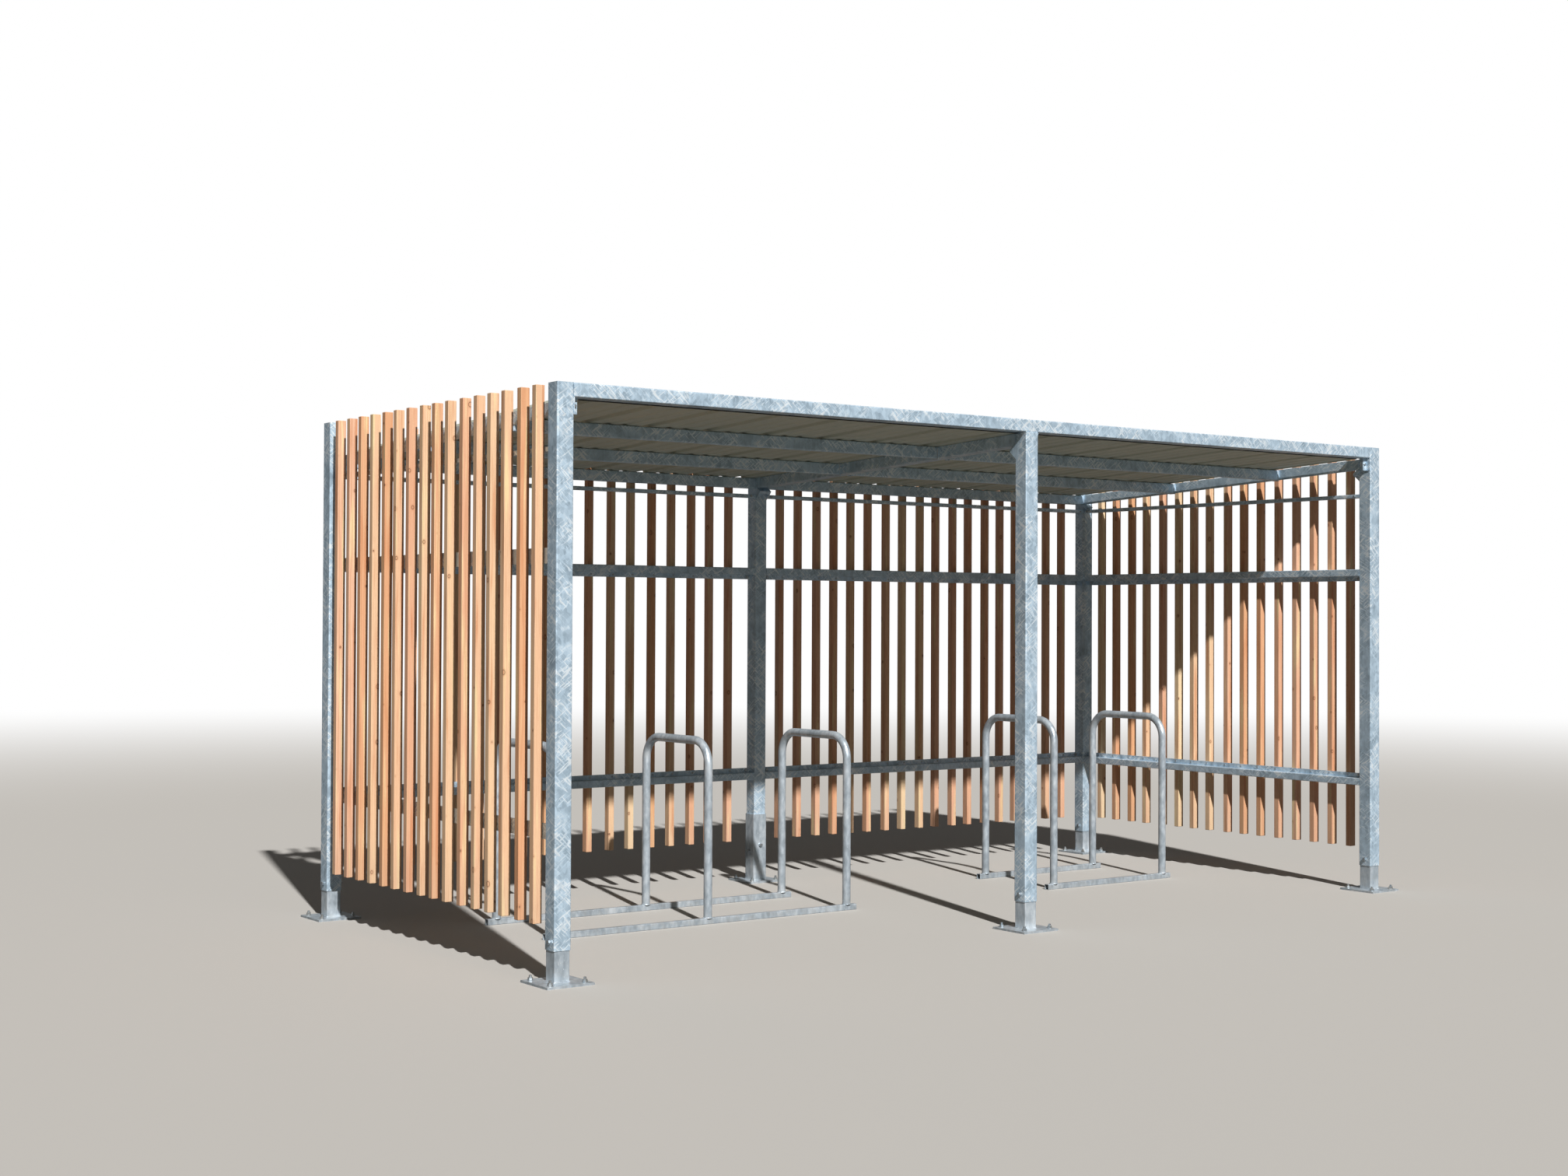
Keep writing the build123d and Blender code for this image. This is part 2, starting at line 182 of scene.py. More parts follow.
class TimberSettings(bpy.types.PropertyGroup):
    cream: StringProperty(
        name="Cream board", description="Colour of the palest boards", default="#EBD3AC",
    )
    peach: StringProperty(
        name="Peach board", description="Colour of most boards", default="#E8BE98",
    )
    orange: StringProperty(
        name="Orange board", description="Colour of the warmest boards", default="#DDA67A",
    )
    pink: StringProperty(
        name="Pink board", description="Colour of the pinkest boards", default="#E2B193",
    )
    grain: StringProperty(
        name="Late wood", description="Colour of the dark lines of the grain", default="#B87448",
    )
    heart: StringProperty(
        name="Heart wood", description="Colour of the reddish streaks", default="#C98358",
    )
    sap: StringProperty(
        name="Sap wood", description="Colour of the pale yellow streaks", default="#EFDDA8",
    )
    knot: StringProperty(
        name="Knot", description="Colour of the knots' rims", default="#5F3720",
    )
    dust: StringProperty(
        name="Low dust", description="Colour of the dust at the slats' feet", default="#A89582",
    )
    pitch: FloatProperty(
        name="Slat pitch", description="Distance between the middles of two slats", default=133 * MM,
        unit="LENGTH",
    )
    width: FloatProperty(
        name="Slat width", description="Width of a slat", default=34.5 * MM, unit="LENGTH",
    )
    depth: FloatProperty(
        name="Slat depth", description="Depth of a slat from its wall's inside", default=42 * MM,
        unit="LENGTH",
    )
    corner: FloatProperty(
        name="Slat corner", description="Broken edge of a slat", default=2.2 * MM, unit="LENGTH",
    )
    scatter: FloatProperty(
        name="Slat scatter", description="Most that a slat stands off its even place",
        default=7 * MM, unit="LENGTH",
    )
    ring: FloatProperty(
        name="Growth ring", description="Distance between two growth rings", default=5 * MM,
        unit="LENGTH",
    )
    streak: FloatProperty(
        name="Streak", description="Width of the reddish and pale streaks", default=22 * MM,
        unit="LENGTH",
    )
    knot_spacing: FloatProperty(
        name="Knot spacing", description="Mean distance along a slat between two knots",
        default=260 * MM, unit="LENGTH",
    )
    knot_radius: FloatProperty(
        name="Knot radius", description="Half the width of the largest knots", default=9 * MM,
        unit="LENGTH",
    )
    seed: IntProperty(name="Seed", description="Seed of the slats' places and tints", default=5)


class SheetSettings(bpy.types.PropertyGroup):
    coat: StringProperty(
        name="Coat", description="Colour of the sheets' coat", default="#CBCFC0",
    )
    # Paler colour of the painted reflection streaks along the fall
    sheen_streak: StringProperty(
        name="Reflection streaks", description="Colour of the painted reflection streaks", default="#DAD9C9",
    )
    fall: FloatProperty(
        name="Fall", description="Fall of the roof to the back, as height over length",
        default=109 / 2365,
    )
    rib_spacing: FloatProperty(
        name="Rib spacing", description="Distance between two ribs", default=1 / 3, unit="LENGTH",
    )
    first_rib: FloatProperty(
        name="First rib", description="Place of the first rib right of the middle", default=191 * MM,
        unit="LENGTH",
    )
    rib_height: FloatProperty(
        name="Rib height", description="Height of a rib with its sheet", default=39 * MM,
        unit="LENGTH",
    )
    # Dark colours of the closure strip: painted shade in the joint over the ribs
    shade_strip: StringProperty(
        name="Foam", description="Colour of the closure strip", default="#2B2C2D",
    )
    shade_strip_pale: StringProperty(
        name="Pale foam", description="Colour of the strip's paler cells", default="#414244",
    )


class FastenerSettings(bpy.types.PropertyGroup):
    foot_bolt: FloatProperty(
        name="Foot bolt", description="Thread of the bolts through posts and feet", default=12 * MM,
        unit="LENGTH",
    )
    foot_bolt_rise: FloatProperty(
        name="Foot bolt rise", description="Height of a foot bolt above the end of its post",
        default=35 * MM, unit="LENGTH",
    )
    sleeve_half: FloatProperty(
        name="Sleeve half width", description="Half the width of the back foot's sleeve",
        default=45.5 * MM, unit="LENGTH",
    )
    anchor: FloatProperty(
        name="Anchor", description="Thread of the ground anchors", default=12 * MM, unit="LENGTH",
    )
    anchor_inset: FloatProperty(
        name="Anchor inset", description="Distance of an anchor from the plate's edges",
        default=30 * MM, unit="LENGTH",
    )
    plate: FloatProperty(
        name="Base plate", description="Thickness of a base plate", default=10 * MM, unit="LENGTH",
    )
    rail_bolt: FloatProperty(
        name="Rail bolt", description="Thread of the bolts at the rails' ends", default=10 * MM,
        unit="LENGTH",
    )
    rail_bolt_inset: FloatProperty(
        name="Rail bolt inset", description="Distance of a rail bolt from its post", default=32 * MM,
        unit="LENGTH",
    )
    fin: FloatProperty(
        name="Flat bar rim", description="Height of a rail's flat bar beyond its tube",
        default=26 * MM, unit="LENGTH",
    )
    fin_thickness: FloatProperty(
        name="Flat bar", description="Thickness of a rail's flat bar", default=6 * MM, unit="LENGTH",
    )
    screw: FloatProperty(
        name="Slat screw", description="Thread of the screws in the slats", default=6 * MM,
        unit="LENGTH",
    )
    roof_screw: FloatProperty(
        name="Roof screw", description="Thread of the screws in the roof", default=6 * MM,
        unit="LENGTH",
    )
    cleat_bolt: FloatProperty(
        name="Cleat bolt", description="Thread of the bolts in the angle cleats", default=8 * MM,
        unit="LENGTH",
    )
    weld_radius: FloatProperty(
        name="Weld radius", description="Half the width of a weld bead", default=3.6 * MM,
        unit="LENGTH",
    )
    weld_ripple: FloatProperty(
        name="Weld ripple", description="Length of one ripple of a weld bead", default=5 * MM,
        unit="LENGTH",
    )
    seed: IntProperty(name="Seed", description="Seed of the turns of the bolt heads", default=11)


# Small helpers


def linear(hex_colour):
    """Linear RGBA of an sRGB hex value."""
    digits = hex_colour.lstrip("#")
    channels = []
    for start in (0, 2, 4):
        value = int(digits[start:start + 2], 16) / 255
        channels.append(value / 12.92 if value <= 0.04045 else ((value + 0.055) / 1.055) ** 2.4)
    return (*channels, 1.0)


def add(tree, kind, inputs=None, **settings):
    """Adds a node with its own settings, and with each input set to a value or linked to an output."""
    made = tree.nodes.new(kind)
    for name, value in settings.items():
        setattr(made, name, value)
    for name, value in (inputs or {}).items():
        if isinstance(value, bpy.types.NodeSocket):
            tree.links.new(value, made.inputs[name])
        else:
            made.inputs[name].default_value = value
    return made


def maths(tree, operation, *values):
    """Output of a maths node."""
    return add(tree, "ShaderNodeMath", dict(enumerate(values)), operation=operation).outputs["Value"]


def fade(tree, value, low, high, to_low=0.0, to_high=1.0):
    """A value that passes smoothly from one end to the other between two limits."""
    inputs = {"Value": value, "From Min": low, "From Max": high, "To Min": to_low, "To Max": to_high}
    return add(tree, "ShaderNodeMapRange", inputs, interpolation_type="SMOOTHSTEP").outputs["Result"]


def blend(tree, factor, first, second, mode="MIX"):
    """A mix of two colours."""
    made = add(tree, "ShaderNodeMix", data_type="RGBA", blend_type=mode)
    for socket, value in ((made.inputs[0], factor), (made.inputs[6], first), (made.inputs[7], second)):
        if isinstance(value, bpy.types.NodeSocket):
            tree.links.new(value, socket)
        else:
            socket.default_value = value
    return made.outputs[2]


def ramp(tree, factor, *stops):
    """A colour ramp from places and linear colours."""
    made = add(tree, "ShaderNodeValToRGB", {"Fac": factor})
    elements = made.color_ramp.elements
    for element, (place, colour) in zip(elements, (stops[0], stops[-1])):
        element.position, element.color = place, colour
    for place, colour in stops[1:-1]:
        elements.new(place).color = colour
    return made.outputs["Color"]


def object_place(tree):
    """Coordinates in the object's own space."""
    return add(tree, "ShaderNodeTexCoord").outputs["Object"]


def stretched(tree, place, scale):
    """Coordinates stretched along the axes."""
    return add(tree, "ShaderNodeMapping", {"Vector": place, "Scale": scale}).outputs["Vector"]


def noise(tree, place, scale, detail=3.0, distortion=0.0):
    """Value of a noise texture."""
    inputs = {"Vector": place, "Scale": scale, "Detail": detail, "Distortion": distortion}
    return add(tree, "ShaderNodeTexNoise", inputs).outputs["Fac"]


def new_material(name):
    """An empty material and its node tree."""
    material = bpy.data.materials.new(name)
    material.use_nodes = True
    tree = material.node_tree
    tree.nodes.clear()
    return material, tree


def finish(tree, height=None, depth=0.0, **inputs):
    """Ends a material in a principled surface, with an optional bump of a real depth."""
    settings = {name.replace("_", " "): value for name, value in inputs.items()}
    if height is not None:
        bump = add(tree, "ShaderNodeBump", {"Height": height, "Distance": depth})
        settings["Normal"] = bump.outputs["Normal"]
    surface = add(tree, "ShaderNodeBsdfPrincipled", settings)
    add(tree, "ShaderNodeOutputMaterial", {"Surface": surface.outputs["BSDF"]})


def dress(material, names):
    """Gives CAD nodes a material."""
    for name in names:
        piece = NODES[name]
        piece.data.materials.clear()
        piece.data.materials.append(material)


def place_piece(name, data, material):
    """Makes an object from finished mesh or curve data, which rides on the frame."""
    data.materials.append(material)
    piece = bpy.data.objects.new(name, data)
    bpy.context.scene.collection.objects.link(piece)
    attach(piece, "root")
    return piece


def place_shape(name, shape, material):
    """Makes an object from a finished bmesh."""
    mesh = bpy.data.meshes.new(name)
    shape.to_mesh(mesh)
    shape.free()
    return place_piece(name, mesh, material)


def break_edges(shape, edges, width, segments):
    """Bevels edges by a width."""
    bmesh.ops.bevel(
        shape, geom=edges, offset=width, offset_type="OFFSET", segments=segments, profile=0.5,
        affect="EDGES", material=-1,
    )


def add_block(shape, middle, size):
    """Adds a block about its middle."""
    where = Matrix.Translation(middle) @ Matrix.Diagonal((*size, 1.0))
    bmesh.ops.create_cube(shape, size=1.0, matrix=where)


def feet():
    """Corners of each foot's box, and whether it is the sleeve at the back."""
    for side in SIDES:
        for place in PLACES:
            low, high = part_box(f"foot_{place}_{side}")
            yield low, high, (place, side) == ("back", "middle")


def aim(place, towards, turn=0.0):
    """Matrix that stands local Z on a place along a direction."""
    tilt = Vector(towards).to_track_quat("Z", "Y").to_matrix().to_4x4()
    return Matrix.Translation(place) @ tilt @ Matrix.Rotation(turn, 4, "Z")


# Fasteners


def rim_height(kind, low, high, sizes):
    """Height of a rail's bolts and screws: the middle of its rim or of its tube."""
    heights = {
        "top": (low[2] + high[2]) / 2,
        "mid": low[2] + sizes.fin / 2,
        "low": high[2] - sizes.fin / 2,
    }
    return heights[kind]


def join(shape, part, where):
    """Adds a part to a shape at a place. It is made by itself, so that each run gives the same order."""
    part.transform(where)
    mesh = bpy.data.meshes.new("part")
    part.to_mesh(mesh)
    part.free()
    shape.from_mesh(mesh)
    bpy.data.meshes.remove(mesh)


def add_prism(shape, where, radius, height, chamfer, sides):
    """Adds an upright prism or disc on a place, with its top edge broken."""
    prism = bmesh.new()
    bmesh.ops.create_cone(
        prism, cap_ends=True, segments=sides, radius1=radius, radius2=radius, depth=height,
    )
    rim = [edge for edge in prism.edges if all(vertex.co.z > 0.0 for vertex in edge.verts)]
    break_edges(prism, rim, chamfer, 1)
    join(shape, prism, where @ Matrix.Translation((0, 0, height / 2)))


def add_bolt(shape, where, thread, stud=0.0):
    """Adds a hexagon head or nut on its washer, with the end of a stud where it has one."""
    washer = 0.2 * thread
    head = (0.85 if stud else 0.64) * thread
    across_flats = 1.58 * thread
    add_prism(shape, where, radius=thread, height=washer, chamfer=0.15 * washer, sides=32)
    seat = where @ Matrix.Translation((0, 0, washer))
    across_corners = across_flats / 2 / math.cos(math.pi / 6)
    add_prism(shape, seat, radius=across_corners, height=head, chamfer=0.08 * thread, sides=6)
    if stud:
        add_prism(shape, seat, radius=thread / 2, height=head + stud, chamfer=0.1 * thread, sides=20)


def add_dome(shape, where, radius, height):
    """Adds a low domed screw head."""
    dome = bmesh.new()
    bmesh.ops.create_uvsphere(dome, u_segments=16, v_segments=8, radius=radius)
    below = [vertex for vertex in dome.verts if vertex.co.z < -0.05 * radius]
    bmesh.ops.delete(dome, geom=below, context="VERTS")
    join(shape, dome, where @ Matrix.Diagonal((1, 1, height / radius, 1)))


def rounded_loop(half_x, half_y, corner, step):
    """Points about a rounded rectangle at nearly even steps; a circle where the corners meet."""
    points = []
    for quarter, (sign_x, sign_y) in enumerate(((1, 1), (-1, 1), (-1, -1), (1, -1))):
        middle = Vector((sign_x * (half_x - corner), sign_y * (half_y - corner), 0.0))
        arc_steps = max(2, round(corner * math.pi / 2 / step))
        for number in range(arc_steps + 1):
            angle = math.pi / 2 * (quarter + number / arc_steps)
            points.append(middle + corner * Vector((math.cos(angle), math.sin(angle), 0.0)))
        arc_end = points[-1]
        end_angle = math.pi / 2 * (quarter + 1)
        heading = Vector((-math.sin(end_angle), math.cos(end_angle), 0.0))
        straight = 2 * ((half_x if quarter % 2 == 0 else half_y) - corner)
        straight_steps = round(straight / step)
        for number in range(1, straight_steps):
            points.append(arc_end + heading * (straight * number / straight_steps))
    return points


def add_bead(curve, where, half_x, half_y, corner, step):
    """Adds a closed weld bead about a rounded rectangle, with a ripple at every other point."""
    points = rounded_loop(half_x, half_y, corner, step / 2)
    bead = curve.splines.new("POLY")
    bead.points.add(len(points) - 1)
    bead.use_cyclic_u = True
    bead.use_smooth = True
    for number, (knot, point) in enumerate(zip(bead.points, points)):
        knot.co = (*(where @ point), 1.0)
        knot.radius = 1.0 if number % 2 == 0 else 0.8


def new_bead_curve(name, radius):
    """An empty curve whose lines are round beads."""
    curve = bpy.data.curves.new(name, "CURVE")
    curve.dimensions = "3D"
    curve.bevel_depth = radius
    curve.bevel_resolution = 1
    return curve


# Materials


def feathers(tree, place, steel, turn):
    """Share of the thin bright feathers that lie across a zinc coat in one slanting direction; their
    brightness is partly the coat's own spangle and partly painted glint.
    """
    turned = add(
        tree, "ShaderNodeMapping",
        {
            "Vector": place, "Rotation": turn,
            "Scale": (1.0, steel.streak_stretch, steel.streak_stretch),
        },
        vector_type="TEXTURE",
    ).outputs["Vector"]
    lines = noise(tree, turned, 1 / steel.streak_width, detail=2.0, distortion=0.4)
    return fade(tree, lines, low=0.53, high=0.65)


def zinc_tone(tree, place, steel):
    """Tone of a hot-dipped coat between dull and bright: crystals, clouds, runs and slanting feathers,
    where the crystals and feathers are partly painted glint.
    """
    crystals = add(
        tree, "ShaderNodeTexVoronoi",
        {"Vector": stretched(tree, place, (1.0, 1.0, 0.7)), "Scale": 1 / steel.spangle},
    )
    crystal = add(tree, "ShaderNodeSeparateColor", {"Color": crystals.outputs["Color"]}).outputs["Red"]
    clouds = noise(tree, place, scale=11.0, detail=5.0)
    hanging = stretched(tree, place, (1.0, 1.0, 0.12))
    runs = noise(tree, hanging, 1 / steel.run_width, detail=2.0, distortion=0.6)
    # The crystals and the feathers are partly the zinc's own spangle and partly painted glint: bright
    # spots and streaks in the colour that stand in for zinc catching the key light.
    crystal_glint_share, cloud_share, run_share, feather_glint_share = 0.12, 0.55, 0.24, 0.4
    tone = maths(
        tree, "MULTIPLY_ADD", crystal, crystal_glint_share, maths(tree, "MULTIPLY", clouds, cloud_share),
    )
    tone = maths(tree, "MULTIPLY_ADD", runs, run_share, tone)
    crossed = maths(
        tree, "MAXIMUM", *(feathers(tree, place, steel, turn) for turn in FEATHER_TURNS),
    )
    patchy = fade(tree, noise(tree, place, scale=6.0, detail=2.0), low=0.34, high=0.56)
    streak = maths(tree, "MULTIPLY", crossed, patchy)
    tone = maths(tree, "MULTIPLY_ADD", streak, feather_glint_share, tone)
    darker = 0.04
    return maths(tree, "SUBTRACT", tone, darker), crystal, runs


def splash(tree, place, steel, colour, most=0.7):
    """A colour with dirt splashed over it near the ground."""
    height = add(tree, "ShaderNodeSeparateXYZ", {"Vector": place}).outputs["Z"]
    near = fade(tree, height, 0.0, steel.dirt_height, to_low=most, to_high=0.0)
    patchy = fade(tree, noise(tree, place, scale=30.0, detail=5.0), low=0.35, high=0.7)
    return blend(tree, maths(tree, "MULTIPLY", near, patchy), colour, linear(steel.dirt))


def galvanised_steel(steel):
    """Hot-dip galvanised steel: a bright blue-grey zinc coat whose crystals and runs catch the light, and
    whose crystals and feathers also hold painted glint in their colour.
    """
    material, tree = new_material("hot_dip_galvanised_steel")
    place = object_place(tree)
    tone, crystal, runs = zinc_tone(tree, place, steel)
    colour = ramp(
        tree, tone, (0.22, linear(steel.dull)), (0.5, linear(steel.middle)), (0.8, linear(steel.bright)),
    )
    finish(
        tree, height=runs, depth=0.6 * MM, Base_Color=splash(tree, place, steel, colour),
        Metallic=0.45, Roughness=fade(tree, crystal, 0.0, 1.0, to_low=0.36, to_high=0.52),
    )
    return material


def galvanised_tube(steel):
    """Galvanised rack tube: greyer zinc with light mottles, and rubbed bright in scratches by frames."""
    material, tree = new_material("rubbed_galvanised_tube")
    place = object_place(tree)
    mottles = noise(tree, stretched(tree, place, (1.0, 1.0, 0.5)), scale=48.0, detail=4.0)
    clouds = noise(tree, place, scale=9.0, detail=2.0)
    mottle_share, cloud_share = 0.6, 0.5
    tone = maths(
        tree, "MULTIPLY_ADD", mottles, mottle_share, maths(tree, "MULTIPLY", clouds, cloud_share),
    )
    colour = ramp(
        tree, tone, (0.4, linear(steel.tube_dull)), (0.56, linear(steel.tube_middle)),
        (0.76, linear(steel.tube_bright)),
    )
    rubs = noise(tree, stretched(tree, place, (1.0, 1.0, 0.25)), scale=260.0, detail=2.0)
    scratched = fade(tree, rubs, low=0.68, high=0.76)
    colour = blend(tree, scratched, colour, linear(steel.rub))
    finish(
        tree, height=mottles, depth=0.2 * MM,
        Base_Color=splash(tree, place, steel, colour, most=0.25), Metallic=0.5,
        Roughness=fade(tree, mottles, 0.3, 0.7, to_low=0.28, to_high=0.4),
    )
    return material


def plated_steel(steel):
    """Zinc-plated bolts: smoother and more even than the dipped steel, so that they glint."""
    material, tree = new_material("zinc_plated_steel")
    place = object_place(tree)
    spots = noise(tree, place, scale=180.0, detail=3.0)
    dulled = fade(tree, spots, low=0.4, high=0.7)
    colour = blend(tree, dulled, linear(steel.bolt), linear(steel.dull))
    finish(
        tree, Base_Color=splash(tree, place, steel, colour), Metallic=0.85,
        Roughness=fade(tree, spots, 0.3, 0.7, to_low=0.28, to_high=0.45),
    )
    return material


def planed_pine(timber):
    """Planed softwood: each slat has its own tint, with growth rings, warm streaks and small knots."""
    material, tree = new_material("planed_pine")
    grain = linear(timber.grain)
    place = add(tree, "ShaderNodeAttribute", attribute_name="slat_place").outputs["Vector"]
    lot = add(tree, "ShaderNodeAttribute", attribute_name="slat_lot").outputs["Fac"]
    dice = add(tree, "ShaderNodeTexWhiteNoise", {"W": lot}, noise_dimensions="1D").outputs["Color"]
    tint = ramp(
        tree, lot, (0.0, linear(timber.cream)), (0.3, linear(timber.peach)),
        (0.65, linear(timber.pink)), (1.0, linear(timber.orange)),
    )

    # Streaks of heart and sap wood that run a long way up a slat
    offset = (9.0, 9.0, 9.0)
    own = add(
        tree, "ShaderNodeVectorMath", {0: dice, 1: offset, 2: place}, operation="MULTIPLY_ADD",
    )
    grown = stretched(tree, own.outputs["Vector"], (1.0, 1.0, 0.05))
    streaks = noise(tree, grown, 1 / timber.streak, detail=2.0)
    heart = fade(tree, streaks, low=0.52, high=0.74, to_high=0.8)
    sap = fade(tree, streaks, low=0.46, high=0.26, to_high=0.8)
    colour = blend(tree, sap, blend(tree, heart, tint, linear(timber.heart)), linear(timber.sap))

    # Growth rings about a heart that lies outside the slat, and fine fibres. The wave texture
    # repeats every pi / 10 at a scale of 1.
    pith_reach = (0.16, 0.16, 0.0)
    pith = add(
        tree, "ShaderNodeVectorMath", {0: dice, 1: pith_reach, 2: grown}, operation="MULTIPLY_ADD",
    )
    rings = add(
        tree, "ShaderNodeTexWave",
        {
            "Vector": pith.outputs["Vector"], "Scale": math.pi / 10 / timber.ring, "Distortion": 6.0,
            "Detail": 2.0, "Detail Scale": 0.6,
        },
        wave_type="RINGS", rings_direction="Z",
    ).outputs["Fac"]
    fibres = noise(tree, grown, scale=380.0, detail=2.0)
    late = fade(tree, rings, low=0.5, high=1.0, to_high=0.34)
    colour = blend(tree, late, colour, grain)
    fine = fade(tree, fibres, low=0.45, high=0.75, to_high=0.2)
    colour = blend(tree, fine, colour, grain)

    # Knots, each about a point inside the slat, so that few of them come out on a face
    parts = add(tree, "ShaderNodeSeparateXYZ", {"Vector": place}).outputs
    lot_spread = 90.0
    row = maths(tree, "MULTIPLY_ADD", lot, lot_spread, parts["Z"])
    rows = add(
        tree, "ShaderNodeTexVoronoi", {"W": row, "Scale": 1 / timber.knot_spacing},
        voronoi_dimensions="1D",
    ).outputs
    chance = add(tree, "ShaderNodeSeparateColor", {"Color": rows["Color"]}).outputs
    half = timber.depth / 2
    aside = [
        maths(
            tree, "SUBTRACT", parts[axis],
            fade(tree, chance[channel], 0.0, 1.0, to_low=-half, to_high=half),
        )
        for axis, channel in (("X", "Red"), ("Y", "Green"))
    ]
    squash = 0.75
    rise = maths(tree, "MULTIPLY", rows["Distance"], squash * timber.knot_spacing)
    away = add(tree, "ShaderNodeCombineXYZ", {"X": aside[0], "Y": aside[1], "Z": rise})
    reach = add(
        tree, "ShaderNodeVectorMath", {0: away.outputs["Vector"]}, operation="LENGTH",
    ).outputs["Value"]
    edge = maths(tree, "SUBTRACT", reach, maths(tree, "MULTIPLY", chance["Blue"], timber.knot_radius))
    halo_width, rim_width = 9 * MM, 2 * MM
    halo = fade(tree, edge, 0.0, halo_width, to_low=0.36, to_high=0.0)
    rim = fade(tree, maths(tree, "ABSOLUTE", edge), 0.0, rim_width, to_low=0.9, to_high=0.0)
    colour = blend(tree, halo, colour, grain)
    colour = blend(tree, rim, colour, linear(timber.knot))

    # Sawn ends look a little darker, and dust lies on the lowest stretch
    facing = add(
        tree, "ShaderNodeSeparateXYZ", {"Vector": add(tree, "ShaderNodeNewGeometry").outputs["Normal"]},
    ).outputs["Z"]
    sawn = fade(tree, maths(tree, "ABSOLUTE", facing), low=0.8, high=0.95, to_high=0.3)
    colour = blend(tree, sawn, colour, grain)
    dust_height = 0.3
    low = fade(tree, parts["Z"], 0.0, dust_height, to_low=0.4, to_high=0.0)
    dusty = maths(tree, "MULTIPLY", low, fibres)
    colour = blend(tree, dusty, colour, linear(timber.dust))
    finish(
        tree, height=rings, depth=0.2 * MM, Base_Color=colour,
        Roughness=fade(tree, fibres, 0.3, 0.7, to_low=0.5, to_high=0.68), IOR=1.45,
    )
    return material


def coated_sheet(sheet):
    """Coated steel sheet: a warm grey paint with a low sheen, with paler patchy streaks down the fall
    that are painted reflection.
    """
    material, tree = new_material("coated_steel_sheet")
    place = object_place(tree)
    # Paler patchy streaks along the fall: painted reflection, mixed into the coat as its paler colour.
    streaks = noise(tree, stretched(tree, place, (1.0, 0.03, 1.0)), scale=60.0, detail=4.0)
    patches = noise(tree, place, scale=3.0, detail=4.0)
    dust = maths(
        tree, "MULTIPLY", fade(tree, streaks, low=0.4, high=0.75),
        fade(tree, patches, low=0.35, high=0.65),
    )
    colour = blend(tree, dust, linear(sheet.coat), linear(sheet.sheen_streak))
    roughness = fade(tree, patches, 0.3, 0.7, to_low=0.4, to_high=0.55)
    finish(tree, Base_Color=colour, Roughness=roughness)
    return material


def shade_strip_finish(sheet):
    """Closure strip with fine cells: a dull dark colour that is painted shade, so that the joint over the
    ribs reads as shut and shaded.
    """
    material, tree = new_material("painted_shade_strip")
    place = object_place(tree)
    cells = noise(tree, place, scale=900.0, detail=2.0)
    colour = blend(tree, cells, linear(sheet.shade_strip), linear(sheet.shade_strip_pale))
    finish(tree, height=cells, depth=0.2 * MM, Base_Color=colour, Roughness=0.9)
    return material


# Operators


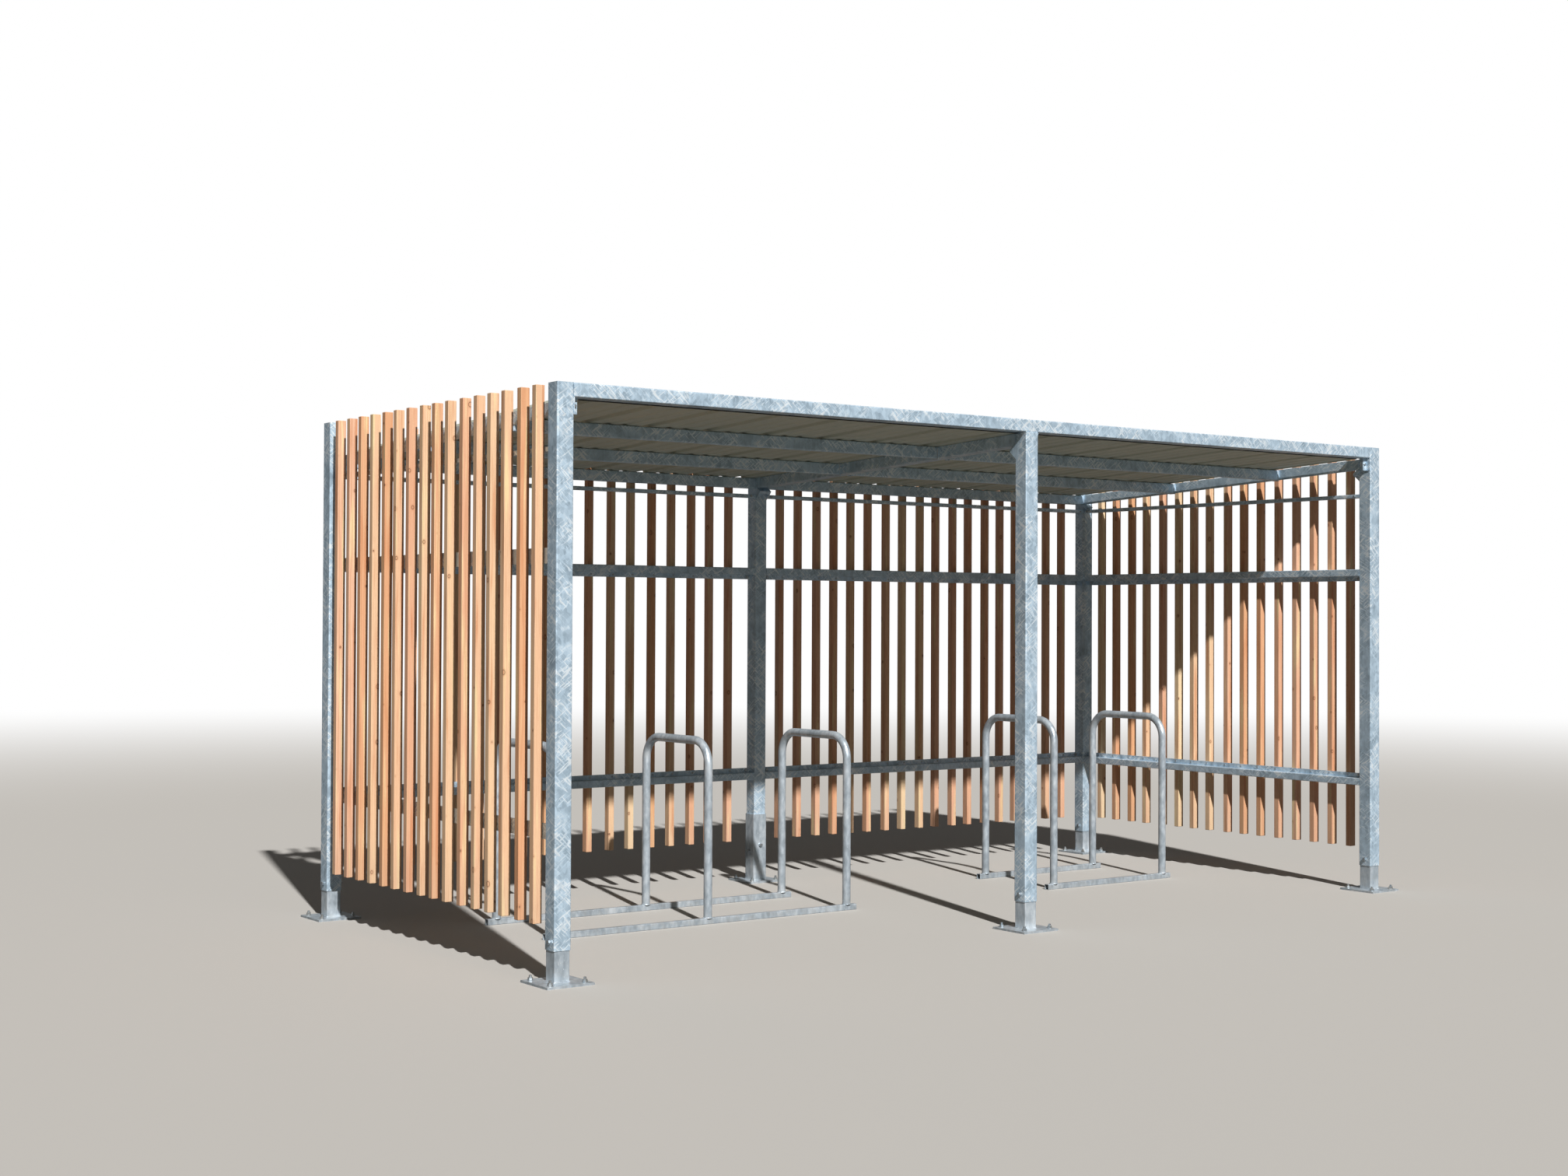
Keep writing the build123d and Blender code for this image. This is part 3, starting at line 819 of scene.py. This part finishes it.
class SHELTER_OT_stage(bpy.types.Operator):
    """Makes the floor, the light and the camera"""

    bl_idname = "shelter.stage"
    bl_label = "Stage"

    def execute(self, context):
        settings = context.scene.shelter_stage
        self.make_floor(context, settings)
        self.make_light(context, settings)
        self.make_camera(context, settings)
        return {"FINISHED"}

    def make_floor(self, context, settings):
        """A plain floor that turns to white with the distance."""
        shape = bmesh.new()
        bmesh.ops.create_circle(shape, cap_ends=True, segments=96, radius=settings.floor_radius)
        mesh = bpy.data.meshes.new("studio_floor")
        shape.to_mesh(mesh)
        shape.free()
        floor = bpy.data.objects.new("studio_floor", mesh)
        context.scene.collection.objects.link(floor)
        material, tree = new_material("matt_floor_paint")
        place = object_place(tree)
        distance = add(tree, "ShaderNodeVectorMath", {0: place}, operation="LENGTH").outputs["Value"]
        seen = add(tree, "ShaderNodeLightPath").outputs["Is Camera Ray"]
        colour = blend(tree, seen, linear(settings.floor_bounce), linear(settings.floor_colour))
        paint = add(tree, "ShaderNodeBsdfDiffuse", {"Color": colour})
        white = add(tree, "ShaderNodeEmission", {"Color": (1.0, 1.0, 1.0, 1.0), "Strength": 1.0})
        near, far = settings.floor_fade
        whiteness = maths(tree, "MULTIPLY", fade(tree, distance, near, far), seen)
        mixed = add(tree, "ShaderNodeMixShader", {"Fac": whiteness})
        tree.links.new(paint.outputs["BSDF"], mixed.inputs[1])
        tree.links.new(white.outputs["Emission"], mixed.inputs[2])
        add(tree, "ShaderNodeOutputMaterial", {"Surface": mixed.outputs["Shader"]})
        mesh.materials.append(material)

    def make_light(self, context, settings):
        """A key light and an even light from all round."""
        side, height = settings.sun_side, settings.sun_height
        towards = Vector((
            -math.sin(side) * math.cos(height), -math.cos(side) * math.cos(height), math.sin(height),
        ))
        lamp = bpy.data.lights.new("key_light", "SUN")
        lamp.energy = settings.sun_strength
        lamp.angle = settings.sun_softness
        key = bpy.data.objects.new("key_light", lamp)
        key.rotation_euler = towards.to_track_quat("Z", "Y").to_euler()
        context.scene.collection.objects.link(key)
        world = bpy.data.worlds.new("studio_light")
        world.use_nodes = True
        context.scene.world = world
        tree = world.node_tree
        tree.nodes.clear()
        seen = add(tree, "ShaderNodeLightPath").outputs["Is Camera Ray"]
        strength = add(
            tree, "ShaderNodeMapRange", {"Value": seen, "To Min": settings.sky_strength, "To Max": 1.0},
        )
        background = add(
            tree, "ShaderNodeBackground",
            {"Color": (1.0, 1.0, 1.0, 1.0), "Strength": strength.outputs["Result"]},
        )
        add(tree, "ShaderNodeOutputWorld", {"Surface": background.outputs["Background"]})
        context.scene.view_settings.view_transform = "Standard"

    def make_camera(self, context, settings):
        """A camera at the photograph's place."""
        lens = bpy.data.cameras.new("photo_camera")
        lens.sensor_width = 36.0
        lens.lens = settings.lens
        lens.clip_end = 500.0
        camera = bpy.data.objects.new("photo_camera", lens)
        turn = (
            Matrix.Rotation(-settings.camera_yaw, 4, "Z")
            @ Matrix.Rotation(math.pi / 2 + settings.camera_pitch, 4, "X")
            @ Matrix.Rotation(settings.camera_roll, 4, "Z")
        )
        camera.matrix_world = Matrix.Translation(settings.camera_place) @ turn
        context.scene.collection.objects.link(camera)
        context.scene.camera = camera


class SHELTER_OT_steelwork(bpy.types.Operator):
    """Finishes the galvanised frame and rails, and the feet, whose newer tube is smoother"""

    bl_idname = "shelter.steelwork"
    bl_label = "Steelwork"

    def execute(self, context):
        material = galvanised_steel(context.scene.shelter_steel)
        rails = [name for name in NODES if name.endswith(("_rail", "_rails"))]
        frames = [
            name for name in NODES
            if name.startswith(("post", "rafter", "front_beam", "back_beam", "purlin"))
        ]
        feet = [name for name in NODES if name.startswith("foot")]
        dress(material, rails)
        dress(material, frames)
        dress(galvanised_tube(context.scene.shelter_steel), feet)
        return {"FINISHED"}


class SHELTER_OT_racks(bpy.types.Operator):
    """Finishes the hoops and their floor rails"""

    bl_idname = "shelter.racks"
    bl_label = "Racks"

    def execute(self, context):
        material = galvanised_tube(context.scene.shelter_steel)
        dress(material, [n for n in NODES if n.startswith(("hoop", "rack"))])
        return {"FINISHED"}


def slat_middles(wall, axis, timber):
    """Places of a wall's slats along it: even, but for the small scatter of slats set by eye."""
    low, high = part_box(wall)
    first = low[axis] + timber.width / 2
    count = round((high[axis] - low[axis] - timber.width) / timber.pitch) + 1
    dice = random.Random(f"{wall}_{timber.seed}")
    return [
        first + number * timber.pitch + dice.uniform(-timber.scatter, timber.scatter)
        for number in range(count)
    ]


class SHELTER_OT_timber(bpy.types.Operator):
    """Makes the slats of each wall at their full depth, outwards from the rails that carry them"""

    bl_idname = "shelter.timber"
    bl_label = "Timber"

    def execute(self, context):
        timber = context.scene.shelter_timber
        material = planed_pine(timber)
        for wall, axis, outward in SLAT_WALLS:
            slats = self.slats(wall, axis, outward, timber)
            piece = place_shape(f"planed_{wall}", slats, material)
            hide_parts(wall)
        return {"FINISHED"}

    def slats(self, wall, axis, outward, timber):
        """Slats with broken edges; each point knows its place in its slat and its slat's lot."""
        low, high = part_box(wall)
        through = 1 - axis
        inside = (low if outward > 0 else high)[through]
        size = Vector((timber.depth, timber.depth, high[2] - low[2]))
        size[axis] = timber.width
        centre = Vector((0.0, 0.0, low[2] + size[2] / 2))
        centre[through] = inside + outward * timber.depth / 2
        middles = slat_middles(wall, axis, timber)
        shape = bmesh.new()
        for middle in middles:
            centre[axis] = middle
            add_block(shape, centre, size)
        break_edges(shape, shape.edges[:], timber.corner, 2)
        dice = random.Random(f"{wall}_{timber.seed}_lots")
        lots = [dice.random() for _ in middles]
        slat_place = shape.verts.layers.float_vector.new("slat_place")
        slat_lot = shape.verts.layers.float.new("slat_lot")
        for vertex in shape.verts:
            number = min(range(len(middles)), key=lambda n: abs(middles[n] - vertex.co[axis]))
            centre[axis] = middles[number]
            vertex[slat_place] = vertex.co - Vector((centre.x, centre.y, low[2]))
            vertex[slat_lot] = lots[number]
        return shape


class SHELTER_OT_roof(bpy.types.Operator):
    """Finishes the roof sheets and screws them down through their ribs"""

    bl_idname = "shelter.roof"
    bl_label = "Roof"

    def execute(self, context):
        sheet = context.scene.shelter_sheet
        fasteners = context.scene.shelter_fasteners
        dress(coated_sheet(sheet), ("roof_sheet_left", "roof_sheet_right"))
        low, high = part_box("rafter_middle")
        normal = Vector((0.0, sheet.fall, 1.0)).normalized()
        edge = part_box("roof_sheet_right")[1][0]
        ribs = int((edge - sheet.first_rib) / sheet.rib_spacing) + 1
        thread = fasteners.roof_screw
        shape = bmesh.new()
        for row in ("purlin_front_right", "purlin_rear_right", "back_beam_right"):
            row_low, row_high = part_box(row)
            y = (row_low[1] + row_high[1]) / 2
            top = high[2] - sheet.fall * (y - low[1]) + sheet.rib_height
            for rib in range(-ribs, ribs):
                x = sheet.first_rib + rib * sheet.rib_spacing
                if abs(x) < edge:
                    where = aim((x, y, top), normal)
                    add_prism(
                        shape, where, radius=1.4 * thread, height=1.2 * MM, chamfer=0.3 * MM, sides=24,
                    )
                    add_prism(
                        shape, where, radius=0.75 * thread, height=5 * MM, chamfer=0.4 * MM, sides=6,
                    )
        place_shape(
            "roof_screws", shape, plated_steel(context.scene.shelter_steel),
        )
        # The closure strip shuts the joint over the ribs; its dark colour is painted shade.
        place_shape("closure_strip", self.closure_strip(sheet), shade_strip_finish(sheet))
        return {"FINISHED"}

    def closure_strip(self, sheet):
        """Strip that fills the joint between the front beams and the ends of the ribs; it blocks the
        light there, and its dark colour is painted shade.
        """
        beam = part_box("front_beam_left")
        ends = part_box("roof_sheet_left")[0][0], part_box("roof_sheet_right")[1][0]
        thickness, lap, corner = 3 * MM, 4 * MM, 0.5 * MM
        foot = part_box("rafter_middle")[1][2] - lap
        size = (ends[1] - ends[0], thickness, sheet.rib_height)
        middle = ((ends[0] + ends[1]) / 2, beam[1][1] + size[1] / 2, foot + size[2] / 2)
        shape = bmesh.new()
        add_block(shape, middle, size)
        break_edges(shape, shape.edges[:], corner, 2)
        return shape


class SHELTER_OT_bolts(bpy.types.Operator):
    """Adds the bolts of the feet, anchors, rails and cleats"""

    bl_idname = "shelter.bolts"
    bl_label = "Bolts"

    def execute(self, context):
        sizes = context.scene.shelter_fasteners
        self.turns = random.Random(sizes.seed)
        material = plated_steel(context.scene.shelter_steel)
        for name, build in (
            ("foot_bolts", self.add_foot_bolts),
            ("anchor_nuts", self.add_anchors),
            ("rail_bolts", self.add_rail_bolts),
            ("cleat_bolts", self.add_cleat_bolts),
        ):
            shape = bmesh.new()
            build(shape, sizes)
            place_shape(name, shape, material)
        return {"FINISHED"}

    def bolt(self, shape, place, towards, thread, stud=0.0):
        """A bolt or nut whose head has its own turn."""
        add_bolt(shape, aim(place, towards, self.turns.uniform(0.0, math.pi)), thread, stud)

    def add_foot_bolts(self, shape, sizes):
        """A bolt through each post and foot, and two in the sleeve of the middle back foot."""
        stud = 6 * MM
        step_up = 35 * MM
        post_low, post_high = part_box("post_front_middle")
        post_half = (post_high[0] - post_low[0]) / 2
        rise = post_low[2] + sizes.foot_bolt_rise
        for low, high, sleeve in feet():
            x, y = (low[0] + high[0]) / 2, (low[1] + high[1]) / 2
            half = sizes.sleeve_half if sleeve else post_half
            self.bolt(shape, (x - half, y, rise), (-1, 0, 0), sizes.foot_bolt)
            self.bolt(shape, (x + half, y, rise), (1, 0, 0), sizes.foot_bolt, stud)
            if sleeve:
                self.bolt(shape, (x, y - half, rise + step_up), (0, -1, 0), sizes.foot_bolt)
                self.bolt(shape, (x, y + half, rise + step_up), (0, 1, 0), sizes.foot_bolt, stud)

    def add_anchors(self, shape, sizes):
        """A nut on a stud at each anchor hole of the base plates."""
        stud = 10 * MM
        inset = sizes.anchor_inset
        for low, high, _ in feet():
            for x in (low[0] + inset, high[0] - inset):
                for y in (low[1] + inset, high[1] - inset):
                    self.bolt(shape, (x, y, sizes.plate), (0, 0, 1), sizes.anchor, stud)

    def add_rail_bolts(self, shape, sizes):
        """Bolts near both ends of each rail, in the rim of its flat bar or in the top rail's tube."""
        inset = sizes.rail_bolt_inset
        for kind in ("top", "mid", "low"):
            for name in (f"left_{kind}_rail", f"right_{kind}_rail"):
                low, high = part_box(name)
                inward = 1 if name.startswith("left") else -1
                tube_face = high[0] if inward > 0 else low[0]
                bar_face = (low[0] if inward > 0 else high[0]) + inward * sizes.fin_thickness
                face = tube_face if kind == "top" else bar_face
                for y in (low[1] + inset, high[1] - inset):
                    place = (face, y, rim_height(kind, low, high, sizes))
                    self.bolt(shape, place, (inward, 0, 0), self.thread(kind, sizes))
            low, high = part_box(f"back_{kind}_rails")
            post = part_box("post_back_middle")
            face = low[1] if kind == "top" else high[1] - sizes.fin_thickness
            for x in (low[0] + inset, post[0][0] - inset, post[1][0] + inset, high[0] - inset):
                place = (x, face, rim_height(kind, low, high, sizes))
                self.bolt(shape, place, (0, -1, 0), self.thread(kind, sizes))

    def thread(self, kind, sizes):
        """Thread of a rail's bolts."""
        return sizes.cleat_bolt if kind == "top" else sizes.rail_bolt

    def add_cleat_bolts(self, shape, sizes):
        """A bolt in the front leg of each angle cleat under the ends of the front beam."""
        inset, leg_depth, rise = 18 * MM, 27 * MM, 35 * MM
        for side, inward in (("left", 1), ("right", -1)):
            low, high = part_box(f"front_beam_{side}")
            end = low[0] if inward > 0 else high[0]
            place = (end + inward * inset, low[1] + leg_depth, low[2] + rise)
            self.bolt(shape, place, (0, -1, 0), sizes.cleat_bolt)


class SHELTER_OT_screws(bpy.types.Operator):
    """Adds the screws that hold the slats to the rims of the rails"""

    bl_idname = "shelter.screws"
    bl_label = "Slat Screws"

    def execute(self, context):
        sizes = context.scene.shelter_fasteners
        timber = context.scene.shelter_timber
        shape = bmesh.new()
        for wall, axis, outward in SLAT_WALLS:
            rails = wall.split("_")[0]
            for kind in ("mid", "low"):
                low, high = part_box(f"{rails}_{kind}_rail" + ("s" if rails == "back" else ""))
                face = (high if outward > 0 else low)[1 - axis] - outward * sizes.fin_thickness
                place = Vector((face, face, rim_height(kind, low, high, sizes)))
                inward = Vector((-outward, -outward, 0.0))
                inward[axis] = 0.0
                for middle in slat_middles(wall, axis, timber):
                    place[axis] = middle
                    self.add_screw(shape, place, inward, sizes)
        place_shape("slat_screws", shape, plated_steel(context.scene.shelter_steel))
        return {"FINISHED"}

    def add_screw(self, shape, place, towards, sizes):
        """A domed screw head on a thin washer."""
        where = aim(place, towards)
        washer = 0.8 * MM
        add_prism(shape, where, radius=1.1 * sizes.screw, height=washer, chamfer=0.2 * MM, sides=20)
        seat = where @ Matrix.Translation((0, 0, washer))
        add_dome(shape, seat, radius=0.95 * sizes.screw, height=3 * MM)


class SHELTER_OT_welds(bpy.types.Operator):
    """Adds the weld beads of the feet, the hoops and the purlins"""

    bl_idname = "shelter.welds"
    bl_label = "Welds"

    def execute(self, context):
        sizes = context.scene.shelter_fasteners
        material = galvanised_tube(context.scene.shelter_steel)
        for name, build, slot in (
            ("foot_welds", self.add_foot_welds, "galvanised_frame"),
            ("hoop_welds", self.add_hoop_welds, "galvanised_rack"),
            ("purlin_welds", self.add_purlin_welds, "galvanised_frame"),
        ):
            curve = new_bead_curve(name, sizes.weld_radius)
            build(curve, sizes)
            place_piece(name, curve, material)
        return {"FINISHED"}

    def add_foot_welds(self, curve, sizes):
        """A bead round each foot's tube, on its base plate."""
        tube_half, tube_corner, sleeve_corner = 36.5 * MM, 4 * MM, 11 * MM
        stand_off = 1 * MM
        for low, high, sleeve in feet():
            half = (sizes.sleeve_half if sleeve else tube_half) + stand_off
            corner = (sleeve_corner if sleeve else tube_corner) + stand_off
            middle = ((low[0] + high[0]) / 2, (low[1] + high[1]) / 2, sizes.plate + stand_off)
            add_bead(curve, Matrix.Translation(middle), half, half, corner, sizes.weld_ripple)

    def add_hoop_welds(self, curve, sizes):
        """A bead round the foot of each hoop's legs, on the floor rails."""
        rail_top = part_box("rack_rails_left")[1][2]
        lift = 0.5 * MM
        for name in NODES:
            if name.startswith("hoop"):
                low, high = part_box(name)
                radius = (high[0] - low[0]) / 2
                bead = radius - lift
                for y in (low[1] + radius, high[1] - radius):
                    where = Matrix.Translation(((low[0] + high[0]) / 2, y, rail_top + lift))
                    add_bead(curve, where, bead, bead, bead, sizes.weld_ripple)

    def add_purlin_welds(self, curve, sizes):
        """A bead round each end of a purlin, against its end plate."""
        plate, proud, corner, tuck = 6 * MM, 4 * MM, 5 * MM, 1 * MM
        for row in ("purlin_front", "purlin_rear"):
            for side in ("left", "right"):
                low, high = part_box(f"{row}_{side}")
                y = (low[1] + proud + high[1]) / 2
                z = (low[2] + proud + high[2]) / 2
                half_y = (high[1] - low[1] - proud) / 2
                half_z = (high[2] - low[2] - proud) / 2
                for x in (low[0] + plate, high[0] - plate):
                    turn = Matrix.Rotation(math.pi / 2, 4, "Y")
                    where = Matrix.Translation((x, y, z - tuck)) @ turn
                    add_bead(curve, where, half_z - tuck, half_y, corner, sizes.weld_ripple)


class SHELTER_PT_panel(bpy.types.Panel):
    """Lists the pieces of the shelter"""

    bl_label = "Bike Shelter"
    bl_idname = "SHELTER_PT_panel"
    bl_space_type = "VIEW_3D"
    bl_region_type = "UI"
    bl_category = "Shelter"

    def draw(self, context):
        for operator in OPERATORS:
            self.layout.operator(operator.bl_idname)


SETTINGS = {
    "shelter_stage": StageSettings,
    "shelter_steel": SteelSettings,
    "shelter_timber": TimberSettings,
    "shelter_sheet": SheetSettings,
    "shelter_fasteners": FastenerSettings,
}
OPERATORS = (
    SHELTER_OT_stage,
    SHELTER_OT_steelwork,
    SHELTER_OT_racks,
    SHELTER_OT_timber,
    SHELTER_OT_roof,
    SHELTER_OT_bolts,
    SHELTER_OT_screws,
    SHELTER_OT_welds,
)


def register():
    for group in SETTINGS.values():
        bpy.utils.register_class(group)
    for operator in OPERATORS:
        bpy.utils.register_class(operator)
    bpy.utils.register_class(SHELTER_PT_panel)
    for name, group in SETTINGS.items():
        setattr(bpy.types.Scene, name, PointerProperty(type=group))


def unregister():
    for name in SETTINGS:
        delattr(bpy.types.Scene, name)
    bpy.utils.unregister_class(SHELTER_PT_panel)
    for operator in reversed(OPERATORS):
        bpy.utils.unregister_class(operator)
    for group in reversed(SETTINGS.values()):
        bpy.utils.unregister_class(group)


def main():
    register()
    for operator in OPERATORS:
        area, name = operator.bl_idname.split(".")
        getattr(getattr(bpy.ops, area), name)()


if __name__ == "__main__":
    main()
